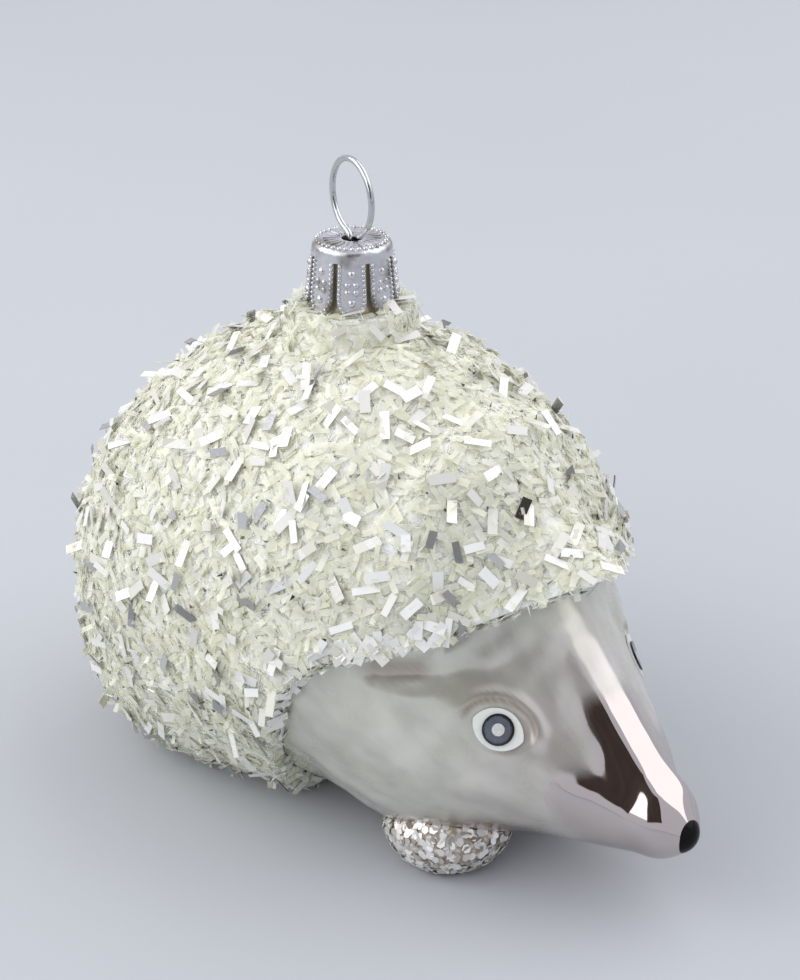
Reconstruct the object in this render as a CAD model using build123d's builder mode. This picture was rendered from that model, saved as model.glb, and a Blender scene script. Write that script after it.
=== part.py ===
from build123d import *
import math
import os
import random

# A mouth-blown glass hedgehog ornament: silvered glass figure, tinsel coat, crown cap and wire hanger.
# It faces +X and stands on z = 0, with the axis of its neck along Z. Lengths are in millimetres.

# Glass figure
BODY_LENGTH = 93.0
BODY_WIDTH = 52.4
BODY_HEIGHT = 58.4
NECK_SHARE = 0.398
WALL = 1.2

# Cross-sections of the glass from tail to snout. Each row holds the station as a share of the length,
# the half width as a share of half the width, then the crown, the widest level and the belly as shares
# of the height, the fullness of the upper and of the lower curve, and the depth of the tinsel bed as a
# share of its usual depth.
SECTION_SHARES = [
    (0.000, 0.040, 0.428, 0.411, 0.394, 0.55, 0.55, 1.0),
    (0.014, 0.290, 0.565, 0.411, 0.257, 0.55, 0.60, 1.0),
    (0.057, 0.600, 0.705, 0.411, 0.103, 0.55, 0.70, 1.0),
    (0.140, 0.863, 0.844, 0.411, 0.022, 0.55, 0.75, 1.0),
    (0.263, 0.985, 0.955, 0.411, -0.006, 0.55, 0.69, 1.0),
    (0.398, 1.000, 1.000, 0.411, -0.009, 0.55, 0.54, 1.0),
    (0.527, 0.977, 0.973, 0.420, -0.009, 0.55, 0.44, 1.2),
    (0.624, 0.900, 0.882, 0.402, 0.000, 0.50, 0.56, 1.9),
    (0.710, 0.744, 0.745, 0.368, 0.043, 0.40, 0.66, 3.2),
    (0.774, 0.573, 0.616, 0.330, 0.082, 0.33, 0.64, 4.3),
    (0.828, 0.450, 0.514, 0.296, 0.103, 0.33, 0.60, 6.0),
    (0.882, 0.344, 0.420, 0.262, 0.116, 0.36, 0.60, 7.5),
    (0.935, 0.224, 0.329, 0.231, 0.127, 0.45, 0.60, 8.5),
    (0.978, 0.136, 0.262, 0.205, 0.146, 0.55, 0.55, 8.0),
    (1.000, 0.046, 0.216, 0.197, 0.176, 0.55, 0.55, 1.0),
]

# Neck, which the cap covers
NECK_RADIUS = 4.3
NECK_WALL = 0.9
NECK_RISE = 12.8

# Front paws, blown in one with the figure
PAW_RADIUS = 7.2
PAW_HALF_HEIGHT = 4.8
PAW_FLAT = 0.2
PAW_FORWARD_SHARE = 0.468
PAW_SPREAD_SHARE = 0.366
PAW_GLITTER = 0.6
PAW_LIFT = 0.4

# Ears, small folds of the glass at the edge of the coat
EAR_FORWARD_SHARE = 0.471
EAR_SPREAD_SHARE = 0.672
EAR_LEVEL_SHARE = 0.548
EAR_LENGTH = 9.5
EAR_HEIGHT = 4.4
EAR_THICKNESS = 3.4
EAR_TURN = 41.0

# Painted eyes, each in three coats of enamel, and the painted nose
EYE_FORWARD_SHARE = 0.654
EYE_LEVEL_SHARE = 0.397
EYE_LENGTH = 6.5
EYE_HEIGHT = 4.9
EYE_SLANT = 5.0
IRIS_DIAMETER = 3.8
PUPIL_DIAMETER = 1.5
ENAMEL = 0.16
NOSE_RADIUS = 2.6
NOSE_DOME = 0.8
NOSE_LEVEL_SHARE = 0.198

# Tinsel coat: a glued bed with flakes of foil standing on it
BED_DEPTH = 2.0
BED_LIFT = 0.6
BED_COLLAR_RADIUS = 9.0
BED_COLLAR_TOP_RADIUS = 7.2
BED_COLLAR_RISE = 5.0
FILM_GAP = 0.06
FLAKE_LENGTH = 3.3
FLAKE_WIDTH = 1.2
FLAKE_FOIL = 0.14
FLAKE_CLEARANCE = 1.6
FLAKE_GAP = 0.08
FLAKE_CAP_CLEARANCE = 3.0
FLAKE_TILTS = (6.0, 38.0)
FLAKE_TRIES = 1600
FLAKE_SEED = 7
SILVER_FLAKE_EVERY = 3

# Front edge of the coat in side view, from the brow down to the belly: shares of the reach from the
# neck axis to the snout, and of the height
EDGE_SHARES = [
    (0.786, 0.711),
    (0.679, 0.659),
    (0.554, 0.596),
    (0.393, 0.539),
    (0.293, 0.464),
    (0.212, 0.300),
    (0.120, 0.128),
    (0.050, -0.060),
]

# Crown cap, stamped from sheet
CAP_SHEET = 0.3
CAP_CLEARANCE = 0.25
CAP_DEPTH = 8.4
CAP_FLARE = 0.85
CAP_SHOULDER = 0.8
CAP_HOLE_RADIUS = 1.3
PETALS = 8
PETAL_GAP = 0.6
PETAL_TIP = 2.4
PETAL_ROOT = 1.7
PETAL_TURN = -22.5
RIBS = 24
RIB_WIDTH = 0.3
RIB_RELIEF = 0.12
RIB_MARGIN = 0.5

# Wire hanger: a ring whose two legs pass the hole in the cap and spring apart in the neck
WIRE = 0.8
WIRE_GAP = 0.12
RING_RADIUS = 4.7
RING_BEND = 1.0
RING_TURN = -14.0
RING_SEAT_GAP = 0.1
LEG_DROP = 2.4
LEG_SPLAY = 7.0
LEG_LENGTH = 17.0
LEG_BEND = 2.0
SPRING_CLEARANCE = 0.1

# How far cutting shapes run past what they cut
OVERRUN = 6.0

# Worked out from the above
TAIL_TO_NECK = NECK_SHARE * BODY_LENGTH
SNOUT_REACH = BODY_LENGTH - TAIL_TO_NECK
HALF_WIDTH = BODY_WIDTH / 2
NECK_TOP = BODY_HEIGHT + NECK_RISE
NECK_BORE = NECK_RADIUS - NECK_WALL
CAP_TOP = NECK_TOP + CAP_SHEET
CAP_RADIUS = NECK_RADIUS + CAP_CLEARANCE + CAP_SHEET
CORE = Vector(0, 0, SECTION_SHARES[5][3] * BODY_HEIGHT)


def section_face(row, outset, brow=1):
    """One cross-section of the figure, grown by the outset, and by that many times as much on the crown."""
    station, width, crown, widest, belly, upper, lower, _ = row
    x = station * BODY_LENGTH - TAIL_TO_NECK
    reach = TAIL_TO_NECK if x < 0 else SNOUT_REACH
    x += outset * x / reach
    half = width * HALF_WIDTH + outset
    side = widest * BODY_HEIGHT
    top = crown * BODY_HEIGHT + outset * brow
    bottom = belly * BODY_HEIGHT - outset
    with BuildSketch(Plane(origin=(x, 0, 0), x_dir=(0, 1, 0), z_dir=(1, 0, 0))) as outline:
        with BuildLine():
            Bezier((0, bottom), (lower * half, bottom), (half, side - lower * (side - bottom)), (half, side))
            Bezier((half, side), (half, side + upper * (top - side)), (upper * half, top), (0, top))
            mirror(about=Plane.YZ)
        make_face()
    return outline.sketch


def figure_sections(outset):
    """All cross-sections, less the ends where a cavity has no room."""
    wide_enough = [row for row in SECTION_SHARES if row[1] * HALF_WIDTH > -2 * outset]
    return [section_face(row, outset) for row in wide_enough]


def paw_dome(side, outset):
    """A front paw as a turned dome, on the right at side -1 and on the left at side 1."""
    with BuildPart() as dome:
        with BuildSketch(Plane.XZ):
            with BuildLine():
                EllipticalCenterArc((0, 0), PAW_RADIUS + outset, PAW_HALF_HEIGHT + outset, -90, arc_size=180)
                Line((0, -PAW_HALF_HEIGHT - outset), (0, PAW_HALF_HEIGHT + outset))
            make_face()
        revolve(axis=Axis.Z)
    place = (PAW_FORWARD_SHARE * SNOUT_REACH, side * PAW_SPREAD_SHARE * HALF_WIDTH, PAW_HALF_HEIGHT - PAW_FLAT)
    return Pos(*place) * dome.part


def ear_fold(side, outset):
    """An ear as a small fold of the glass, on the right at side -1 and on the left at side 1."""
    with BuildPart() as fold:
        Sphere(1)
        scale(by=(EAR_LENGTH / 2 + outset, EAR_THICKNESS / 2 + outset, EAR_HEIGHT / 2 + outset))
    along = EAR_FORWARD_SHARE * SNOUT_REACH
    place = (along, side * EAR_SPREAD_SHARE * HALF_WIDTH, EAR_LEVEL_SHARE * BODY_HEIGHT)
    return Pos(*place) * Rot(0, 0, -side * EAR_TURN) * fold.part


def grown_figure(outset):
    """The outside of the figure with its paws and ears, grown by the outset and without its neck."""
    with BuildPart() as figure:
        loft(sections=figure_sections(outset))
        add([shape(side, outset) for shape in (paw_dome, ear_fold) for side in (-1, 1)])
    return figure.part


# Glass figure with its paws, ears and neck
with BuildPart() as cavity:
    loft(sections=figure_sections(-WALL))
    add([paw_dome(-1, -WALL), paw_dome(1, -WALL)])
    split(bisect_by=Plane.XY.offset(WALL), keep=Keep.TOP)
    with BuildSketch(Plane.XY.offset(CORE.Z)):
        Circle(NECK_BORE)
    extrude(amount=NECK_TOP - CORE.Z + OVERRUN)

neck_rim = CAP_SHOULDER - CAP_SHEET / 2 - CAP_CLEARANCE

with BuildPart() as glass_body:
    add(grown_figure(0))
    with BuildSketch(Plane.XY.offset(CORE.Z)):
        Circle(NECK_RADIUS)
    extrude(amount=NECK_TOP - CORE.Z)
    split(bisect_by=Plane.XY, keep=Keep.TOP)
    add(cavity.part, mode=Mode.SUBTRACT)
    fillet(glass_body.faces().sort_by(Axis.Z)[-1].outer_wire().edges(), neck_rim)
glass_body.part.label = "glass_body"

# Glued bed of the tinsel coat, from the brow round the back to the tail
edge_points = [(along * SNOUT_REACH, up * BODY_HEIGHT) for along, up in EDGE_SHARES]
far_back = -TAIL_TO_NECK - BED_DEPTH - OVERRUN
far_up = NECK_TOP + OVERRUN
skirt_end = CAP_TOP - CAP_DEPTH

with BuildPart() as coat_space:
    with BuildSketch(Plane.XZ):
        with BuildLine():
            Spline(*edge_points)
            Polyline(
                edge_points[-1],
                (far_back, edge_points[-1][1]),
                (far_back, far_up),
                (edge_points[0][0], far_up),
                edge_points[0],
            )
        make_face()
    extrude(amount=BODY_WIDTH, both=True)
    split(bisect_by=Plane.XY.offset(BED_LIFT), keep=Keep.TOP)

with BuildPart() as bed_form:
    loft(sections=[section_face(row, BED_DEPTH, row[7]) for row in SECTION_SHARES])

with BuildPart() as glitter_bed:
    add(bed_form.part)
    with Locations((0, 0, BODY_HEIGHT - BED_DEPTH)):
        Cone(
            BED_COLLAR_RADIUS,
            BED_COLLAR_TOP_RADIUS,
            BED_DEPTH + BED_COLLAR_RISE,
            align=(Align.CENTER, Align.CENTER, Align.MIN),
        )
    loft(sections=figure_sections(FILM_GAP), mode=Mode.SUBTRACT)
    add(coat_space.part, mode=Mode.INTERSECT)
    add([ear_fold(-1, FILM_GAP), ear_fold(1, FILM_GAP)], mode=Mode.SUBTRACT)
    with BuildSketch(Plane.XY.offset(CORE.Z)):
        Circle(NECK_RADIUS + FILM_GAP)
    extrude(amount=NECK_TOP - CORE.Z, mode=Mode.SUBTRACT)
    with BuildSketch(Plane.XY.offset(skirt_end - CAP_CLEARANCE)):
        Circle(CAP_RADIUS + CAP_FLARE + CAP_CLEARANCE)
    extrude(amount=CAP_DEPTH, mode=Mode.SUBTRACT)
glitter_bed.part.label = "glitter_bed"

# Painted eyes: a white almond, and on it a ring for the iris with a dot for the pupil
with BuildPart() as head:
    loft(sections=figure_sections(0))

eye_line = Axis((EYE_FORWARD_SHARE * SNOUT_REACH, 0, EYE_LEVEL_SHARE * BODY_HEIGHT), (0, -1, 0))
eye_point, eye_normal = head.part.shells()[0].find_intersection_points(eye_line)[-1]
eye_slant = Vector(1, 0, 0).rotate(Axis.Y, EYE_SLANT)
eye_along = eye_slant - eye_normal * eye_slant.dot(eye_normal)
eye_plane = Plane(origin=eye_point, x_dir=eye_along, z_dir=eye_normal)
iris_level = FILM_GAP + ENAMEL + FILM_GAP

with BuildPart() as right_eye_white:
    with BuildSketch(eye_plane):
        with BuildLine():
            ThreePointArc((-EYE_LENGTH / 2, 0), (0, EYE_HEIGHT / 2), (EYE_LENGTH / 2, 0))
            ThreePointArc((EYE_LENGTH / 2, 0), (0, -EYE_HEIGHT / 2), (-EYE_LENGTH / 2, 0))
        make_face()
    extrude(amount=EYE_HEIGHT / 2, both=True)
    loft(sections=figure_sections(FILM_GAP + ENAMEL), mode=Mode.INTERSECT)
    loft(sections=figure_sections(FILM_GAP), mode=Mode.SUBTRACT)
    add(ear_fold(-1, FILM_GAP), mode=Mode.SUBTRACT)
right_eye_white.part.label = "right_eye_white"

with BuildPart() as right_iris:
    with BuildSketch(eye_plane):
        Circle(IRIS_DIAMETER / 2)
        Circle(PUPIL_DIAMETER / 2 + FILM_GAP, mode=Mode.SUBTRACT)
    extrude(amount=EYE_HEIGHT / 2, both=True)
    loft(sections=figure_sections(iris_level + ENAMEL), mode=Mode.INTERSECT)
    loft(sections=figure_sections(iris_level), mode=Mode.SUBTRACT)
right_iris.part.label = "right_iris"

with BuildPart() as right_pupil:
    with BuildSketch(eye_plane):
        Circle(PUPIL_DIAMETER / 2)
    extrude(amount=EYE_HEIGHT / 2, both=True)
    loft(sections=figure_sections(iris_level + ENAMEL), mode=Mode.INTERSECT)
    loft(sections=figure_sections(iris_level), mode=Mode.SUBTRACT)
right_pupil.part.label = "right_pupil"

with BuildPart() as left_eye_white:
    mirror(right_eye_white.part, about=Plane.XZ)
left_eye_white.part.label = "left_eye_white"

with BuildPart() as left_iris:
    mirror(right_iris.part, about=Plane.XZ)
left_iris.part.label = "left_iris"

with BuildPart() as left_pupil:
    mirror(right_pupil.part, about=Plane.XZ)
left_pupil.part.label = "left_pupil"

# Painted nose, a thick drop of enamel on the tip of the snout
with BuildPart() as nose_tip:
    with Locations((SNOUT_REACH + NOSE_DOME - NOSE_RADIUS, 0, NOSE_LEVEL_SHARE * BODY_HEIGHT)):
        Sphere(NOSE_RADIUS, rotation=(90, 0, 0))
    add(grown_figure(FILM_GAP), mode=Mode.SUBTRACT)
nose_tip.part.label = "nose_tip"

# Glitter on the front paws
with BuildPart() as right_paw_glitter:
    add(paw_dome(-1, PAW_GLITTER))
    add(grown_figure(FILM_GAP), mode=Mode.SUBTRACT)
    split(bisect_by=Plane.XY.offset(PAW_LIFT), keep=Keep.TOP)
right_paw_glitter.part.label = "right_paw_glitter"

with BuildPart() as left_paw_glitter:
    mirror(right_paw_glitter.part, about=Plane.XZ)
left_paw_glitter.part.label = "left_paw_glitter"

# Flakes of foil, strewn over the bed and standing on it at odd angles
flake_reach = math.hypot(FLAKE_LENGTH, FLAKE_WIDTH)
cap_reach = CAP_RADIUS + CAP_FLARE + FLAKE_CAP_CLEARANCE + flake_reach / 2
chance = random.Random(FLAKE_SEED)
flake_points = []
flake_places = []

for face in bed_form.faces().filter_by(GeomType.PLANE, reverse=True):
    for _ in range(FLAKE_TRIES):
        along = (chance.random(), chance.random())
        turn = chance.uniform(0, 360)
        tilt = chance.uniform(*FLAKE_TILTS)
        point = face.position_at(*along)
        in_coat = coat_space.part.is_inside(point) and point.Z > BED_LIFT + flake_reach
        near_cap = math.hypot(point.X, point.Y) < cap_reach
        crowded = any((point - other).length < flake_reach + FLAKE_CLEARANCE for other in flake_points)
        if in_coat and not near_cap and not crowded:
            rise = FLAKE_GAP + (FLAKE_LENGTH * math.sin(math.radians(tilt)) + FLAKE_FOIL) / 2
            seat = Plane(point, z_dir=face.normal_at(*along)).location
            flake_points.append(point)
            flake_places.append(seat * Pos(0, 0, rise) * Rot(0, 0, turn) * Rot(0, tilt, 0))

with BuildPart() as silver_tinsel:
    with Locations(*flake_places[::SILVER_FLAKE_EVERY]):
        Box(FLAKE_LENGTH, FLAKE_WIDTH, FLAKE_FOIL)
silver_tinsel.part.label = "silver_tinsel"

pearl_places = [place for index, place in enumerate(flake_places) if index % SILVER_FLAKE_EVERY]
with BuildPart() as pearl_tinsel:
    with Locations(*pearl_places):
        Box(FLAKE_LENGTH, FLAKE_WIDTH, FLAKE_FOIL)
pearl_tinsel.part.label = "pearl_tinsel"

# Crown cap: a drawn cup with a flared skirt, slit into petals with pointed tips
cap_middle = CAP_RADIUS - CAP_SHEET / 2
half_pitch = math.pi * (CAP_RADIUS + CAP_FLARE) / PETALS
rib_length = CAP_RADIUS - CAP_SHOULDER - CAP_HOLE_RADIUS - 2 * RIB_MARGIN

with BuildPart() as crown_cap:
    with BuildSketch(Plane.XZ):
        with BuildLine():
            FilletPolyline(
                (CAP_HOLE_RADIUS, CAP_TOP - CAP_SHEET / 2),
                (cap_middle, CAP_TOP - CAP_SHEET / 2),
                (cap_middle + CAP_FLARE, skirt_end),
                radius=CAP_SHOULDER,
            )
        trace(line_width=CAP_SHEET)
    revolve(axis=Axis.Z)
    for index in range(PETALS):
        outward = Vector(1, 0, 0).rotate(Axis.Z, PETAL_TURN + index * 360 / PETALS)
        sideways = outward.rotate(Axis.Z, 90)
        with BuildSketch(Plane(origin=(0, 0, skirt_end), x_dir=sideways, z_dir=outward)):
            with BuildLine():
                TangentArc((PETAL_GAP / 2, PETAL_TIP), (half_pitch, 0), tangent=(0, -1))
                Polyline(
                    (half_pitch, 0),
                    (half_pitch, -OVERRUN),
                    (0, -OVERRUN),
                    (0, CAP_DEPTH - PETAL_ROOT),
                    (PETAL_GAP / 2, CAP_DEPTH - PETAL_ROOT),
                    (PETAL_GAP / 2, PETAL_TIP),
                )
            make_face()
            mirror(about=Plane.YZ)
        extrude(amount=CAP_RADIUS + CAP_FLARE + OVERRUN, mode=Mode.SUBTRACT)
    with Locations((0, 0, CAP_TOP)):
        with PolarLocations(CAP_HOLE_RADIUS + RIB_MARGIN + rib_length / 2, RIBS):
            Box(rib_length, RIB_WIDTH, 2 * RIB_RELIEF)
crown_cap.part.label = "crown_cap"

# Wire hanger, bent from one length of spring wire
leg_offset = (WIRE + WIRE_GAP) / 2
bend_offset = leg_offset + RING_BEND
ring_drop = math.sqrt((RING_RADIUS + RING_BEND) ** 2 - bend_offset**2)
bend_level = CAP_TOP + RIB_RELIEF + RING_SEAT_GAP - (RING_BEND - WIRE / 2) * ring_drop / (RING_RADIUS + RING_BEND)
ring_level = bend_level + ring_drop
joint_share = RING_RADIUS / (RING_RADIUS + RING_BEND)
spring_offset = NECK_BORE - WIRE / 2 - SPRING_CLEARANCE

ring_along = Vector(1, 0, 0).rotate(Axis.Z, RING_TURN)
ring_across = Vector(0, -1, 0).rotate(Axis.Z, RING_TURN)

with BuildPart() as wire_hanger:
    with BuildLine(Plane(origin=(0, 0, 0), x_dir=ring_along, z_dir=ring_across)) as hanger_path:
        FilletPolyline(
            (spring_offset, bend_level - LEG_LENGTH),
            (spring_offset, bend_level - LEG_DROP - LEG_SPLAY),
            (leg_offset, bend_level - LEG_DROP),
            (leg_offset, bend_level),
            radius=LEG_BEND,
        )
        ring_joint = (bend_offset * joint_share, ring_level - ring_drop * joint_share)
        TangentArc((leg_offset, bend_level), ring_joint, tangent=(0, 1))
        ThreePointArc(ring_joint, (RING_RADIUS, ring_level), (0, ring_level + RING_RADIUS))
        mirror(about=Plane(origin=(0, 0, 0), z_dir=ring_along))
    hanger_wire = hanger_path.wire()
    with BuildSketch(Plane(origin=hanger_wire @ 0, z_dir=hanger_wire % 0)):
        Circle(WIRE / 2)
    sweep(path=hanger_wire)
wire_hanger.part.label = "wire_hanger"

pieces = [
    glass_body,
    glitter_bed,
    silver_tinsel,
    pearl_tinsel,
    right_paw_glitter,
    left_paw_glitter,
    right_eye_white,
    left_eye_white,
    right_iris,
    left_iris,
    right_pupil,
    left_pupil,
    nose_tip,
    crown_cap,
    wire_hanger,
]
os.makedirs("parts", exist_ok=True)
for piece in pieces:
    export_step(piece.part, f"parts/{piece.part.label}.step")
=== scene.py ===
import bmesh
import bpy
import math
import numpy as np
from mathutils import Matrix, Vector


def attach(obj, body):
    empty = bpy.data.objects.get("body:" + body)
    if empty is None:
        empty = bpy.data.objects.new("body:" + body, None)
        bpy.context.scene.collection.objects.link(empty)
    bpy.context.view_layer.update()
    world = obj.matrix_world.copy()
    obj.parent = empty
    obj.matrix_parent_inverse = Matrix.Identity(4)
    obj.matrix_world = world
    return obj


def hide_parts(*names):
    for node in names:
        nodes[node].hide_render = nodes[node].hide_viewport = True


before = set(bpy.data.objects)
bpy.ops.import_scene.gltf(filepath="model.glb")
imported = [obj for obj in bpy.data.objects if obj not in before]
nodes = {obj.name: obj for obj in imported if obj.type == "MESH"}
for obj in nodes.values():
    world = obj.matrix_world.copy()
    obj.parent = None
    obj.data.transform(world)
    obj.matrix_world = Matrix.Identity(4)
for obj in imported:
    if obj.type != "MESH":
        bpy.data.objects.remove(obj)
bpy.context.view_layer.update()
MM = 0.001
MIRROR = (1, -1, 1)  # from the right side to the left

# Glass figure, in millimetres, from the same sections as the solids
BODY_LENGTH = 93.0
TAIL_TO_NECK = 37.014
BODY_WIDTH = 52.4
BODY_HEIGHT = 58.4
GLASS_WALL = 1.2
LEAST_HALF_WIDTH = 0.05
NECK_RADIUS = 4.3
NECK_BORE = 3.4
NECK_TOP = 71.2
NECK_RIM = 0.35
NECK_FOOT = 0.5
SECTIONS = [
    # station, half width, crown, widest, belly, upper fullness, lower fullness
    (0.000, 0.040, 0.428, 0.411, 0.394, 0.55, 0.55),
    (0.014, 0.290, 0.565, 0.411, 0.257, 0.55, 0.60),
    (0.057, 0.600, 0.705, 0.411, 0.103, 0.55, 0.70),
    (0.140, 0.863, 0.844, 0.411, 0.022, 0.55, 0.75),
    (0.263, 0.985, 0.955, 0.411, -0.006, 0.55, 0.69),
    (0.398, 1.000, 1.000, 0.411, -0.009, 0.55, 0.54),
    (0.527, 0.977, 0.973, 0.420, -0.009, 0.55, 0.44),
    (0.624, 0.900, 0.882, 0.402, 0.000, 0.50, 0.56),
    (0.710, 0.744, 0.745, 0.368, 0.043, 0.40, 0.66),
    (0.774, 0.573, 0.616, 0.330, 0.082, 0.33, 0.64),
    (0.828, 0.450, 0.514, 0.296, 0.103, 0.33, 0.60),
    (0.882, 0.344, 0.420, 0.262, 0.116, 0.36, 0.60),
    (0.935, 0.224, 0.329, 0.231, 0.127, 0.45, 0.60),
    (0.978, 0.136, 0.262, 0.205, 0.146, 0.55, 0.55),
    (1.000, 0.046, 0.216, 0.197, 0.176, 0.55, 0.55),
]

# Right eye, ear and paw
EYE = np.array((36.6, -12.3, 23.2))
EYE_ALONG = np.array((0.72, 0.62, -0.32))
EYE_OUT = np.array((0.64, -0.67, 0.38))
EYE_HALF_LENGTH = 4.0
EYE_HALF_HEIGHT = 3.1
EYE_DEPTH = 4.0
IRIS_RADIUS = 1.9
EAR = np.array((26.4, -18.0, 32.0))
EAR_ALONG = np.array((0.76, 0.65, -0.02))
PAW = np.array((26.2, -9.6, 4.6))
PAW_RADIUS = 7.2
PAW_HALF_HEIGHT = 4.8

# Crown cap; depths are counted down from its top
CAP_TOP = 71.5
CAP_DEPTH = 8.4
CAP_RADIUS = 4.85
CAP_FLARE = 0.85
CAP_RIM_RADIUS = 4.25
PETALS = 8
PETAL_GAP = 0.6
PETAL_TIP = 2.4
BEADS_DEPTH = 2.0
BEAD_INSET = 0.27
BEAD_PROUD = 0.04
TIP_INSET = 0.35
RIM_BEAD_DEPTH = 0.08
BOSS_DEPTHS = (3.0, 6.5)
BOSS_SUNK = 0.20
FLOWER_DEPTH = 4.75
LEAF_SUNK = 0.14
LEAF_PLACES = ((-0.52, 0.46), (0.52, 0.46), (-0.52, -0.46), (0.52, -0.46))

# Coat and glitter
COAT_CORE = np.array((4.0, 0.0, 24.0))  # a point inside the coat
COAT_HEM = 1.0  # no pile starts lower than this
CAP_CLEARANCE = 6.3  # no pile starts nearer than this to the neck's axis, in the cap's zone
CAP_ZONE = 50  # the level where the cap's zone starts
FRINGE_REACH = 1.3  # how far the fringe runs back from the coat's front edge
FRINGE_FROM = 12  # the front edge lies forward of this, and above the hem
FRINGE_HEM = 6
FLAKE_THICKNESS = 0.05
HEXES_PER_PAW = 520
HEX_RADIUS = 0.58
HEX_LIFT = 0.12
HEX_TILT = 11


def put(tree, kind, settings=None, inputs=None):
    """One node with its settings, then its values and links."""
    made = tree.nodes.new(kind)
    for name, value in (settings or {}).items():
        setattr(made, name, value)
    for name, value in (inputs or {}).items():
        if isinstance(value, bpy.types.NodeSocket):
            tree.links.new(value, made.inputs[name])
        else:
            made.inputs[name].default_value = value
    return made


def rgb(red, green, blue):
    """A colour as it looks on a screen, 0 to 255, for a shader's socket."""

    def linear(level):
        if level < 11:
            return level / 255 / 12.92
        return ((level / 255 + 0.055) / 1.055) ** 2.4

    return (linear(red), linear(green), linear(blue), 1.0)


class Tone:
    """A value or colour in a material; sums and products of values add their Math nodes."""

    def __init__(self, tree, socket=None):
        self.tree = tree
        self.socket = socket

    def node(self, kind, settings=None, inputs=None, output=0):
        given = {
            name: value.socket if isinstance(value, Tone) else value
            for name, value in (inputs or {}).items()
        }
        return Tone(self.tree, put(self.tree, kind, settings, given).outputs[output])

    def maths(self, operation, first, second):
        return self.node("ShaderNodeMath", {"operation": operation}, {0: first, 1: second})

    def __add__(self, other):
        return self.maths("ADD", self, other)

    def __sub__(self, other):
        return self.maths("SUBTRACT", self, other)

    def __mul__(self, other):
        return self.maths("MULTIPLY", self, other)

    def __truediv__(self, other):
        return self.maths("DIVIDE", self, other)

    def __radd__(self, other):
        return self.maths("ADD", other, self)

    def __rsub__(self, other):
        return self.maths("SUBTRACT", other, self)

    def __rmul__(self, other):
        return self.maths("MULTIPLY", other, self)

    def ramp(self, stops):
        """Colours along the value; each stop is a place and a screen colour."""
        made = put(self.tree, "ShaderNodeValToRGB", None, {"Fac": self.socket})
        marks = made.color_ramp.elements
        marks[0].position, marks[-1].position = stops[0][0], stops[-1][0]
        for place, *_ in stops[1:-1]:
            marks.new(place)
        for mark, (_, *colour) in zip(marks, stops):
            mark.color = rgb(*colour)
        return Tone(self.tree, made.outputs[0])

    def between(self, low, high):
        inputs = {"Value": self, "From Min": low, "From Max": high}
        return self.node("ShaderNodeMapRange", {"interpolation_type": "SMOOTHSTEP"}, inputs)

    def mixed(self, first, second):
        inputs = {"Factor": self, 6: first, 7: second}
        return self.node("ShaderNodeMix", {"data_type": "RGBA"}, inputs, output=2)


class Finish:
    """A material under way: its shader, its place on the piece, and what is fed to the shader."""

    def __init__(self, name, **constants):
        self.material = bpy.data.materials.new(name)
        self.material.use_nodes = True
        tree = self.material.node_tree
        self.shader = tree.nodes["Principled BSDF"]
        self.tone = Tone(tree)
        for socket, value in constants.items():
            self.shader.inputs[socket.replace("_", " ")].default_value = value
        self.place = self.tone.node("ShaderNodeTexCoord", output=3)

    def noise(self, grain, detail, place=None):
        """Cloudy noise with a grain in millimetres."""
        inputs = {"Vector": place or self.place, "Scale": 1 / (grain * MM), "Detail": detail}
        return self.tone.node("ShaderNodeTexNoise", None, inputs)

    def strokes(self, grain, drawn, turn):
        """Noise drawn out along a direction, as by a brush or by the pull of the glass."""
        inputs = {"Vector": self.place, "Rotation": turn, "Scale": (drawn, 1, 1)}
        along = self.tone.node("ShaderNodeMapping", {"vector_type": "TEXTURE"}, inputs)
        return self.noise(grain, 3, along)

    def cells(self, grain):
        """The distance to the middle of each crystal, with a grain in millimetres."""
        inputs = {"Vector": self.place, "Scale": 1 / (grain * MM)}
        return self.tone.node("ShaderNodeTexVoronoi", {"feature": "F1"}, inputs)

    def cell_tone(self, grain):
        """A value of its own for each crystal."""
        inputs = {"Vector": self.place, "Scale": 1 / (grain * MM)}
        colour = self.tone.node("ShaderNodeTexVoronoi", {"feature": "F1"}, inputs, output=1)
        return self.tone.node("ShaderNodeSeparateColor", None, {0: colour})

    def attribute(self, name):
        return self.tone.node("ShaderNodeAttribute", {"attribute_name": name}, output=2)

    def feed(self, socket, tone):
        self.tone.tree.links.new(tone.socket, self.shader.inputs[socket])

    def bump(self, height, strength, depth):
        inputs = {"Height": height, "Strength": strength, "Distance": depth * MM}
        self.feed("Normal", self.tone.node("ShaderNodeBump", None, inputs))


# Finishes

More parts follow.
